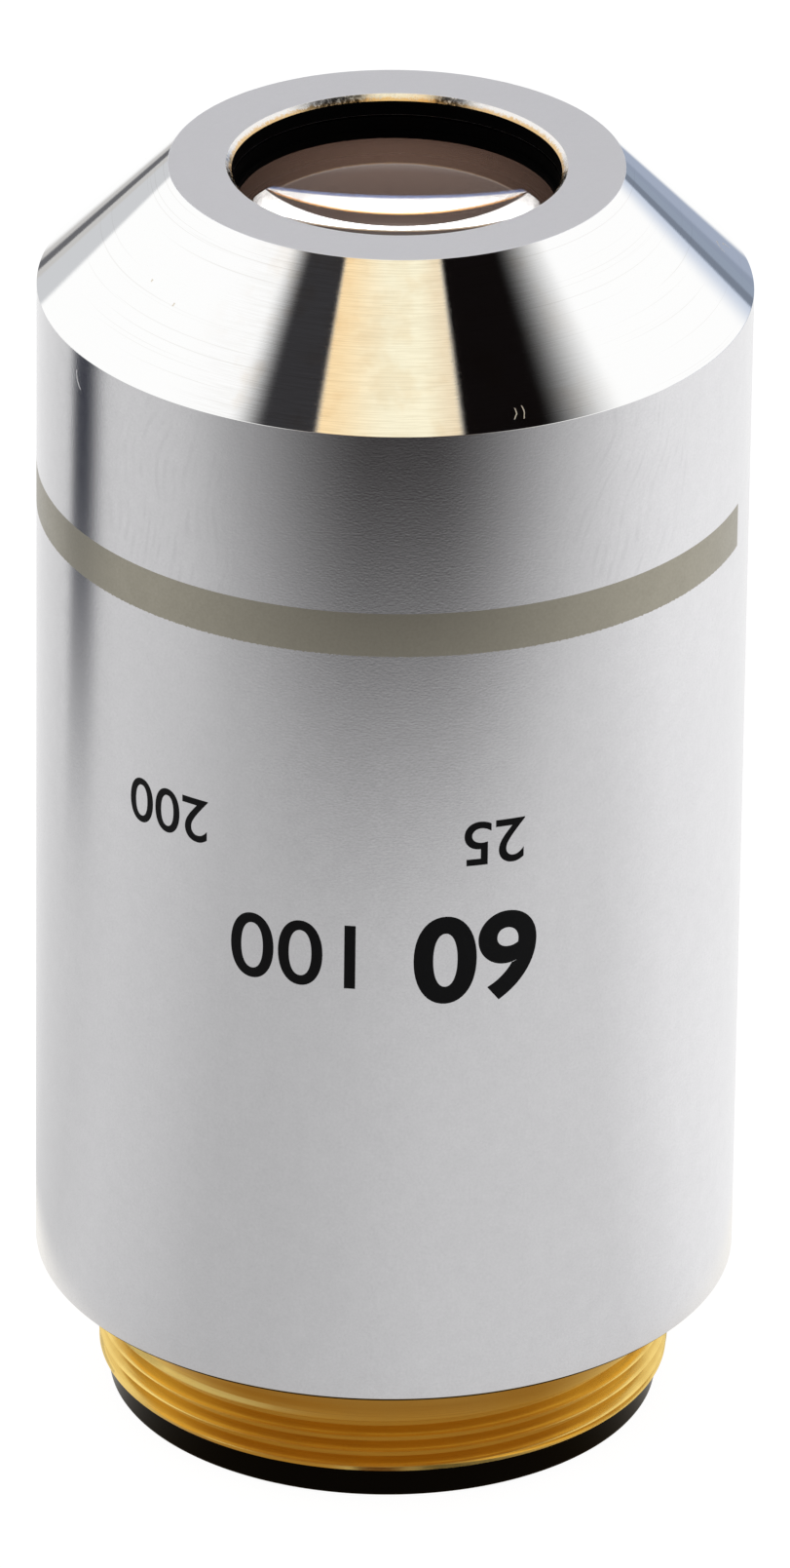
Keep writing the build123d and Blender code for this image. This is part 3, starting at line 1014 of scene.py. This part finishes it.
@dataclass
class MainBody:
    """Brass tube with the mounting thread, the shoulder flange and the ledge for the lens stack."""

    pitch: float = 0.75
    major: float = 12.5
    bore: float = 11.0
    thread_bottom: float = -5.0
    run_out: float = -2.05
    flange: float = 14.6
    flange_top: float = 1.5
    ledge: float = 1.2
    tube: float = 13.95
    tube_bore: float = 12.5
    tube_top: float = 45.2
    chamfer: float = 0.25
    run_out_sweep: float = 160.0
    groove_share: float = 0.6134
    screw_hole: float = 1.05
    segments: int = 384

    def cut_depth(self, azimuth: float, height: float) -> float:
        """How deep the thread is cut at a point.

        Args:
            azimuth: azimuth in degrees, from 0 to 360.
            height: height in millimetres.

        Returns:
            The depth below the full diameter in millimetres.
        """
        below = (self.run_out + self.pitch * azimuth / 360 - height) / self.pitch
        turn = round(below)
        from_end = turn * 360 - azimuth
        if from_end < 0:
            return 0.0
        share = min(1.0, from_end / self.run_out_sweep)
        off = abs(below - turn) * self.pitch
        flank = (off - self.pitch / 8) * math.tan(math.radians(60))
        return share * share * (3 - 2 * share) * max(0.0, self.groove_share * self.pitch - max(0.0, flank))

    def rows(self) -> list[float]:
        """Heights of the thread's rows along one helix, placed on its corners.

        Returns:
            Heights in millimetres.
        """
        eighth = self.pitch / 8
        steps = (-4.0, -3.55, -3.0, -2.2, -1.6, -1.0, -0.9, 0.0, 0.9, 1.0, 1.6, 2.2, 3.0, 3.55)
        marks = [s * eighth for s in steps]
        turns = range(-6, 3)
        return sorted(self.run_out + self.pitch * n + mark for n in turns for mark in marks)

    def build(self) -> bpy.types.Object:
        """Build the body: a threaded skin on a turned tube, with its centring holes.

        Returns:
            The body.
        """
        made = bmesh.new()
        rows = self.rows()
        top, bottom = -0.45, self.thread_bottom + self.chamfer
        grid = []
        for j in range(self.segments + 1):
            azimuth = 360.0 * j / self.segments
            column = []
            for row in rows:
                height = min(top, max(bottom, row + self.pitch * azimuth / 360))
                cut = 0.0 if height >= top else self.cut_depth(azimuth, height)
                column.append(made.verts.new(turned_point(self.major - cut, azimuth, height)))
            grid.append(column)
        for first, second in zip(grid, grid[1:]):
            for k in range(len(rows) - 1):
                made.faces.new((first[k], first[k + 1], second[k + 1], second[k]))
        bmesh.ops.remove_doubles(made, verts=made.verts, dist=2e-7)
        bmesh.ops.dissolve_degenerate(made, edges=made.edges, dist=1e-7)
        self.close(made, top, bottom)
        body = finished("body", made, 40.0)
        for face in body.data.polygons:
            face.use_smooth = True
        self.drill(body)
        return dress(body, BRASS.material())

    def close(self, made: bmesh.types.BMesh, top: float, bottom: float) -> None:
        """Join the thread's two rims by the rest of the body's section.

        Args:
            made: the mesh with the threaded skin.
            top: height of the upper rim in millimetres.
            bottom: height of the lower rim in millimetres.
        """
        rims = [e for e in made.edges if len(e.link_faces) == 1]
        low = [e for e in rims if all(abs(v.co.z - bottom * MM) < 1e-6 for v in e.verts)]
        high = [e for e in rims if e not in low]
        upper = [(self.major, -0.10), (self.major, -0.02), (self.major + 0.02, 0.0), (self.flange - 0.05, 0.0),
                 (self.flange, 0.05), (self.flange, self.flange_top - 0.05), (self.flange - 0.05, self.flange_top),
                 (self.tube + 0.02, self.flange_top), (self.tube, self.flange_top + 0.02),
                 (self.tube, self.tube_top - 0.08), (self.tube - 0.08, self.tube_top),
                 (self.tube_bore + 0.08, self.tube_top), (self.tube_bore, self.tube_top - 0.08),
                 (self.tube_bore, self.ledge), (self.bore, self.ledge), (self.bore, self.thread_bottom + 0.05),
                 (self.bore + 0.05, self.thread_bottom), (self.major - self.chamfer, self.thread_bottom),
                 (self.major - 0.12, self.thread_bottom + 0.035), (self.major - 0.045, self.thread_bottom + 0.10)]
        edges = high
        for radius, height in upper:
            grown = bmesh.ops.extrude_edge_only(made, edges=edges)["geom"]
            edges = [item for item in grown if isinstance(item, bmesh.types.BMEdge)]
            for vert in {v for e in edges for v in e.verts}:
                scale = radius * MM / math.hypot(vert.co.x, vert.co.y)
                vert.co.x *= scale
                vert.co.y *= scale
                vert.co.z = height * MM
        bmesh.ops.bridge_loops(made, edges=edges + low)

    def drill(self, body: bpy.types.Object) -> None:
        """Cut the three holes of the centring screws.

        Args:
            body: the body.
        """
        low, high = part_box("centring_screws")
        middle = (low.z + high.z) / 2
        made = bmesh.new()
        for k in range(3):
            angle = TURN * k / 3
            turn = Matrix.Rotation(angle, 4, "Z") @ Matrix.Translation((self.tube * MM, 0, middle))
            turn = turn @ Matrix.Rotation(math.pi / 2, 4, "Y")
            bmesh.ops.create_cone(made, cap_ends=True, segments=48, radius1=self.screw_hole * MM,
                                  radius2=self.screw_hole * MM, depth=6 * MM, matrix=turn)
        cut_away(body, finished("drills", made), 40.0, smooth=True)


@dataclass
class RearRing:
    """Black ring behind the thread, on a spigot in the rear bore, with two spanner slots."""

    radius: float = 12.0
    bottom: float = -6.4
    top: float = -5.0
    spigot: float = 10.95
    spigot_top: float = -2.0
    aperture: float = 10.2
    mouth: float = 0.4
    slot_width: float = 1.2
    slot_depth: float = 0.6

    def build(self) -> bpy.types.Object:
        """Build the ring and mill its slots.

        Returns:
            The ring.
        """
        section = [
            Corner(self.aperture + self.mouth, self.bottom, 0.04),
            Corner(self.radius, self.bottom, 0.16),
            Corner(self.radius, self.top, 0.10),
            Corner(self.spigot, self.top, 0.0),
            Corner(self.spigot, self.spigot_top, 0.15),
            Corner(self.aperture, self.spigot_top, 0.08),
            Corner(self.aperture, self.bottom + self.mouth, 0.04),
        ]
        ring = Turning("ring", section, 384).build()
        made = bmesh.new()
        half = (self.radius + 1) * MM
        matrix = Matrix.Translation((0, 0, self.bottom * MM)) @ Matrix.Diagonal(
            (2 * half, self.slot_width * MM, 2 * self.slot_depth * MM, 1))
        bmesh.ops.create_cube(made, size=1.0, matrix=matrix)
        cut_away(ring, finished("cutter", made), 30.0)
        return dress(ring, BLACK.material())


@dataclass
class FrontGroup:
    """The domed front lens that sits in the front cell."""

    lens_radius: float = 7.6
    vertex: float = 50.4
    front_curve: float = 29.3
    rear_curve: float = -80.0
    rim: float = 1.9

    def lens(self) -> bpy.types.Object:
        """Turn the front lens with fine rings.

        Returns:
            The lens.
        """
        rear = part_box("front_lens")[0].z / MM
        count = 40
        corners = []
        for k in range(count + 1):
            radius = self.lens_radius * k / count
            corners.append(Corner(radius, self.vertex - self.sag(self.front_curve, radius)))
        for k in range(count, -1, -1):
            radius = self.lens_radius * k / count
            corners.append(Corner(radius, rear - self.sag(self.rear_curve, radius)))
        return dress(Turning("dome", corners, 256).build(), FRONT.material())

    @staticmethod
    def sag(curve: float, radius: float) -> float:
        """How far a spherical surface falls back from its vertex at a radius."""
        return radius**2 / (curve * (1 + math.sqrt(1 - (radius / curve) ** 2)))


class Row(Enum):
    """A row of print on the barrel: what it says, its height, its letter size and its middle azimuth."""

    LARGE = ("60", 21.6, 5.5, 14.5, 0.15)
    MIDDLE = ("100", 21.7, 4.3, -14.0, 0.03)
    SMALL = ("25", 26.9, 2.9, 17.0, 0.025)
    SMALL_LEFT = ("200", 26.9, 2.9, -38.0, 0.02)


@dataclass
class Print:
    """Plain numbers printed on the barrel, which read upright when the objective hangs."""

    radius: float = 15.248
    step: float = 0.35

    def build(self) -> list[bpy.types.Object]:
        """Print every row.

        Returns:
            One piece for each row.
        """
        return [self.row(row) for row in Row]

    def row(self, row: Row) -> bpy.types.Object:
        """Set one row and wrap it round the barrel.

        Args:
            row: the row.

        Returns:
            The piece.
        """
        text, height, size, azimuth, bold = row.value
        curve = bpy.data.curves.new("setting", "FONT")
        curve.body = text
        curve.size = size * MM
        curve.offset = bold * MM
        curve.align_x = "CENTER"
        curve.align_y = "CENTER"
        curve.resolution_u = 12
        holder = linked("setting", curve)
        bpy.context.view_layer.update()
        mesh = bpy.data.meshes.new_from_object(holder.evaluated_get(bpy.context.evaluated_depsgraph_get()))
        bpy.data.objects.remove(holder)
        made = bmesh.new()
        made.from_mesh(mesh)
        bmesh.ops.remove_doubles(made, verts=made.verts, dist=1e-7)
        reach = max(abs(v.co.x) for v in made.verts)
        count = int(2 * reach / (self.step * MM)) + 1
        for k in range(count + 1):
            place = -reach + 2 * reach * k / count
            bmesh.ops.bisect_plane(made, geom=made.verts[:] + made.edges[:] + made.faces[:],
                                   plane_co=(place, 0, 0), plane_no=(1, 0, 0))
        for vert in made.verts:
            turn = azimuth - math.degrees(vert.co.x / (self.radius * MM))
            vert.co = turned_point(self.radius, turn, height - vert.co.y / MM)
        for face in made.faces:
            face.smooth = True
        bmesh.ops.recalc_face_normals(made, faces=made.faces)
        for face in made.faces:
            middle = face.calc_center_median()
            if face.normal.dot(Vector((middle.x, middle.y, 0))) < 0:
                face.normal_flip()
        name = f"print_{row.name.lower()}"
        piece_mesh = bpy.data.meshes.new(name)
        made.to_mesh(piece_mesh)
        made.free()
        return dress(linked(name, piece_mesh), INK.material())


class Studio:
    """White floor and surroundings to the camera, tones for what is mirrored, and the camera."""

    distance: float = 0.65559
    elevation: float = math.radians(26.820)
    roll: float = math.radians(0.7179)
    lens: float = 15581.7 * 36 / 1609
    aim: float = 0.022096
    aside: float = 0.0002456
    panel: float = 11.0
    floor_radius: float = 3.0
    floor_drop: float = 0.00002

    def camera(self) -> None:
        """Place the camera as it stands in the photograph."""
        data = bpy.data.cameras.new("camera")
        data.lens = self.lens
        data.sensor_width = 36
        data.clip_start = 0.01
        data.clip_end = 20
        holder = linked("camera", data)
        rise, run = math.sin(self.elevation), math.cos(self.elevation)
        right, up, back = Vector((1, 0, 0)), Vector((0, rise, run)), Vector((0, -run, rise))
        side = right * math.cos(self.roll) + up * math.sin(self.roll)
        head = up * math.cos(self.roll) - right * math.sin(self.roll)
        place = Vector((self.aside, -self.distance * run, self.aim + self.distance * rise))
        matrix = Matrix((side, head, back)).transposed().to_4x4()
        matrix.translation = place
        holder.matrix_world = matrix
        bpy.context.scene.camera = holder

    def world(self) -> None:
        """Surroundings that are white to the camera only.

        Mirrored rays see the dark, gold and pale zones that the cone and barrel show. Rays through glass
        see a panel far above the plain level, for the white band in the front lens. Both were tuned to one
        photograph. Other rays see an even grey, which lights the object.
        """
        made = bpy.data.worlds.new("studio")
        made.use_nodes = True
        bpy.context.scene.world = made
        graph = Graph(made.node_tree)
        x, y, z = graph.parts(graph.add("TexCoord").outputs["Generated"])
        slope = graph.over(x, graph.math("MAXIMUM", z, 0.05))
        overhead = graph.times(graph.ramp(y, -0.02, 0.10, 1.0, 0.0), graph.ramp(z, 0.35, 0.55))
        left = graph.times(graph.ramp(slope, -0.72, -0.54), graph.ramp(slope, -0.33, -0.31, 1.0, 0.0))
        right = graph.times(graph.ramp(slope, 0.275, 0.30), graph.ramp(slope, 0.64, 1.08, 1.0, 0.0))
        gold = graph.times(graph.ramp(slope, -0.33, -0.31), graph.ramp(slope, 0.275, 0.30, 1.0, 0.0))
        warm = graph.mix(graph.ramp(slope, -0.32, 0.0), (1.0, 0.76, 0.44), (1.0, 0.93, 0.70))
        warm = graph.mix(graph.ramp(slope, 0.12, 0.28), warm, (0.90, 0.76, 0.54))
        sky = graph.mix(graph.times(overhead, gold), WHITE, warm)
        sky = graph.mix(graph.times(overhead, left), sky, (0.035, 0.034, 0.037))
        sky = graph.mix(graph.times(overhead, right), sky, (0.004, 0.003, 0.003))
        low = graph.times(graph.ramp(y, -0.60, -0.25, 1.0, 0.0), graph.ramp(z, 0.36, 0.52, 1.0, 0.0))
        low = graph.times(low, graph.ramp(graph.math("ABSOLUTE", x), 0.25, 0.75, 1.0, 0.0))
        sky = graph.mix(low, sky, (0.10, 0.045, 0.015))
        pale = graph.mix(graph.ramp(z, 0.10, 0.24), (0.58, 0.64, 0.76), WHITE)
        line = graph.mix(graph.window(z, 0.045, 0.098, 0.008), (0.29, 0.34, 0.43), (0.19, 0.22, 0.28))
        blue = graph.mix(graph.ramp(z, 0.095, 0.112), line, pale)
        grey = graph.mix(graph.ramp(z, 0.118, 0.150), (0.60, 0.61, 0.63), WHITE)
        beside = graph.mix(graph.ramp(x, -0.15, 0.15), grey, blue)
        ahead = graph.times(graph.ramp(y, 0.0, 0.1), graph.ramp(graph.math("ABSOLUTE", x), 0.02, 0.2))
        sky = graph.mix(ahead, sky, beside)
        patch_of_room = graph.times(graph.window(z, 0.26, 0.64, 0.06),
                                   graph.ramp(graph.math("ABSOLUTE", x), 0.22, 0.42, 1.0, 0.0))
        patch_of_room = graph.times(patch_of_room, graph.ramp(y, 0.2, 0.4))
        sky = graph.mix(patch_of_room, sky, (0.36, 0.335, 0.325))
        rays = graph.add("LightPath")
        soft = graph.mix(graph.ramp(graph.math("ABSOLUTE", x), 0.25, 0.95), (0.66, 0.66, 0.68), (1.25, 1.25, 1.26))
        plain = graph.mix(rays.outputs["Is Glossy Ray"], soft, sky)
        off = graph.math("ABSOLUTE", x)
        panel = graph.times(graph.window(z, 0.16, 0.582, 0.008), graph.ramp(off, 0.42, 0.50, 1.0, 0.0))
        square = graph.times(x, x)
        upper = graph.minus(z, graph.times(square, 0.75))
        below = graph.minus(z, graph.times(square, 1.65))
        head = graph.times(graph.ramp(upper, 0.442, 0.450, 1.0, 0.0), graph.ramp(below, 0.262, 0.282))
        fringe = graph.times(graph.window(z, 0.576, 0.604, 0.010), graph.ramp(off, 0.40, 0.50, 1.0, 0.0))
        rim = graph.times(graph.window(upper, 0.434, 0.450, 0.005), graph.ramp(off, 0.36, 0.42, 1.0, 0.0))
        behind = graph.ramp(y, 0.1, 0.3)
        lamp = graph.times(behind, graph.times(panel, graph.minus(1.0, head)))
        through = graph.mix(graph.ramp(z, 0.0, 0.7), (0.13, 0.10, 0.085), (0.10, 0.075, 0.065))
        through = graph.mix(graph.times(fringe, behind), through, (1.6, 2.4, 4.6))
        through = graph.mix(lamp, through, (self.panel, self.panel, self.panel))
        through = graph.mix(graph.times(rim, behind), through, (8.0, 4.0, 1.3))
        plain = graph.mix(rays.outputs["Is Transmission Ray"], plain, through)
        colour = graph.mix(rays.outputs["Is Camera Ray"], plain, WHITE)
        background = graph.add("Background")
        graph.feed(background.inputs["Color"], colour)
        graph.feed(graph.add("OutputWorld").inputs["Surface"], background.outputs[0])

    def floor(self) -> None:
        """A floor that is white to the camera, and whose mirrored tone goes by heading and distance, with a painted
        contact shadow at the foot.
        """
        made = bmesh.new()
        bmesh.ops.create_circle(made, cap_ends=True, segments=64, radius=self.floor_radius,
                                matrix=Matrix.Translation((0, 0, cad_box[0][2] - self.floor_drop)))
        floor = finished("floor", made)
        material = bpy.data.materials.new("pale_floor")
        material.use_nodes = True
        graph = Graph(material.node_tree)
        x, y, _ = graph.parts(graph.add("TexCoord").outputs["Object"])
        far = graph.math("SQRT", graph.plus(graph.times(x, x), graph.times(y, y)))
        heading = graph.math("DEGREES", graph.math("ARCTAN2", x, graph.times(y, -1.0)))
        level = graph.course(graph.plus(graph.over(heading, 360.0), 0.5),
                             (0.0, 1.0), (0.03, 0.98), (0.085, 0.84), (0.14, 0.73), (0.20, 0.665), (0.25, 0.70),
                             (0.31, 0.64), (0.365, 0.55), (0.42, 0.555), (0.47, 0.59), (0.53, 0.655), (0.68, 0.73),
                             (0.76, 0.92), (0.82, 0.96), (1.0, 0.95))
        tone = graph.mix(1.0, level, level)
        spread = graph.math("ABSOLUTE", graph.minus(heading, 3.0))
        sunk = graph.ramp(far, 0.064, 0.126)
        narrowed = graph.over(spread, graph.plus(graph.times(sunk, 0.34), 0.66))
        front = graph.times(graph.ramp(narrowed, 8.0, 78.0, 1.0, 0.0), sunk)
        tone = graph.mix(front, tone, (0.020, 0.017, 0.017))
        wedge = graph.times(graph.ramp(heading, -121.5, -117.0), graph.ramp(heading, -110.0, -99.0, 1.0, 0.0))
        tone = graph.mix(graph.times(wedge, graph.ramp(far, 0.058, 0.108)), tone, (0.012, 0.015, 0.03))
        # Near the foot, the mirrored floor holds a painted contact shadow with a painted brass bounce: dark
        # brass-brown in front, pale behind.
        shadow_and_bounce_at_foot = graph.mix(graph.ramp(spread, 38.0, 98.0), (0.37, 0.245, 0.10), (1.0, 0.98, 0.93))
        tone = graph.mix(graph.ramp(far, 0.0215, 0.0255, 1.0, 0.0), tone, shadow_and_bounce_at_foot)
        cool = graph.mix(graph.ramp(far, 0.21, 0.30), WHITE, (0.36, 0.41, 0.52))
        cool = graph.mix(graph.ramp(far, 0.60, 1.0), cool, (0.28, 0.325, 0.42))
        dull = graph.mix(graph.ramp(far, 0.23, 0.34), WHITE, (0.56, 0.55, 0.54))
        dull = graph.mix(graph.window(far, 0.42, 0.80, 0.05), dull, (0.14, 0.14, 0.15))
        beyond = graph.mix(graph.ramp(x, -0.09, 0.09), dull, cool)
        behind = graph.times(graph.ramp(y, 0.06, 0.10), graph.ramp(far, 0.125, 0.15))
        tone = graph.mix(behind, tone, beyond)
        mirrored = graph.add("Emission")
        graph.feed(mirrored.inputs["Color"], tone)
        plain = graph.add("BsdfDiffuse")
        graph.feed(plain.inputs["Color"], (0.8, 0.8, 0.8))
        shaded = graph.add("BsdfDiffuse")
        graph.feed(shaded.inputs["Color"], (0.16, 0.16, 0.16))
        lit = graph.add("Emission")
        lit.inputs["Strength"].default_value = 0.93
        seen = graph.add("AddShader")
        graph.feed(seen.inputs[0], shaded.outputs[0])
        graph.feed(seen.inputs[1], lit.outputs[0])
        rays = graph.add("LightPath")
        bright = graph.math("MAXIMUM", rays.outputs["Is Glossy Ray"], rays.outputs["Is Transmission Ray"])
        reflected = graph.add("MixShader")
        graph.feed(reflected.inputs[0], bright)
        graph.feed(reflected.inputs[1], plain.outputs[0])
        graph.feed(reflected.inputs[2], mirrored.outputs[0])
        shown = graph.add("MixShader")
        graph.feed(shown.inputs[0], rays.outputs["Is Camera Ray"])
        graph.feed(shown.inputs[1], reflected.outputs[0])
        graph.feed(shown.inputs[2], seen.outputs[0])
        graph.feed(graph.add("OutputMaterial").inputs["Surface"], shown.outputs[0])
        dress(floor, material)

    def build(self) -> None:
        """Set up the whole studio."""
        self.camera()
        self.world()
        self.floor()
        bpy.context.scene.view_settings.view_transform = "Standard"


INNER: dict[str, Finish | Glass] = {
    "parfocal_shim": BRASS, "centring_screws": STEEL,
    "rear_cell": CELL, "rear_spacer": CELL, "rear_retainer": CELL, "glare_stop": CELL, "rear_tube": CELL,
    "middle_cell": CELL, "middle_spacer": CELL, "middle_retainer": CELL, "front_tube": CELL,
    "front_cell": CELL, "front_retainer": CELL, "front_spacer": CELL, "lock_ring": CELL,
    "rear_lens": CROWN, "rear_crown": CROWN, "rear_flint": FLINT, "middle_singlet": CROWN,
    "middle_crown": CROWN, "middle_flint": FLINT, "front_crown": CROWN, "front_flint": FLINT,
}


def main() -> None:
    """Build the objective's visible pieces, dress the inner ones and set up the studio."""
    logging.basicConfig(level=logging.INFO, format="%(name)s: %(message)s")
    sleeve = OuterSleeve()
    hand_over(sleeve.build(), "satin_chrome", "outer_sleeve")
    hand_over(sleeve.band(), "band_paint", "magnification_band")
    hand_over(MainBody().build(), "brass", "main_body")
    hand_over(RearRing().build(), "black_ring", "rear_ring")
    hand_over(FrontGroup().lens(), "coated_glass", "front_lens")
    for piece in Print().build():
        hand_over(piece, "satin_chrome")
    made: dict[str, bpy.types.Material] = {}
    for node, finish in INNER.items():
        if finish.name not in made:
            made[finish.name] = finish.material()
        dress(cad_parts[node], made[finish.name])
    Studio().build()


if __name__ == "__main__":
    main()
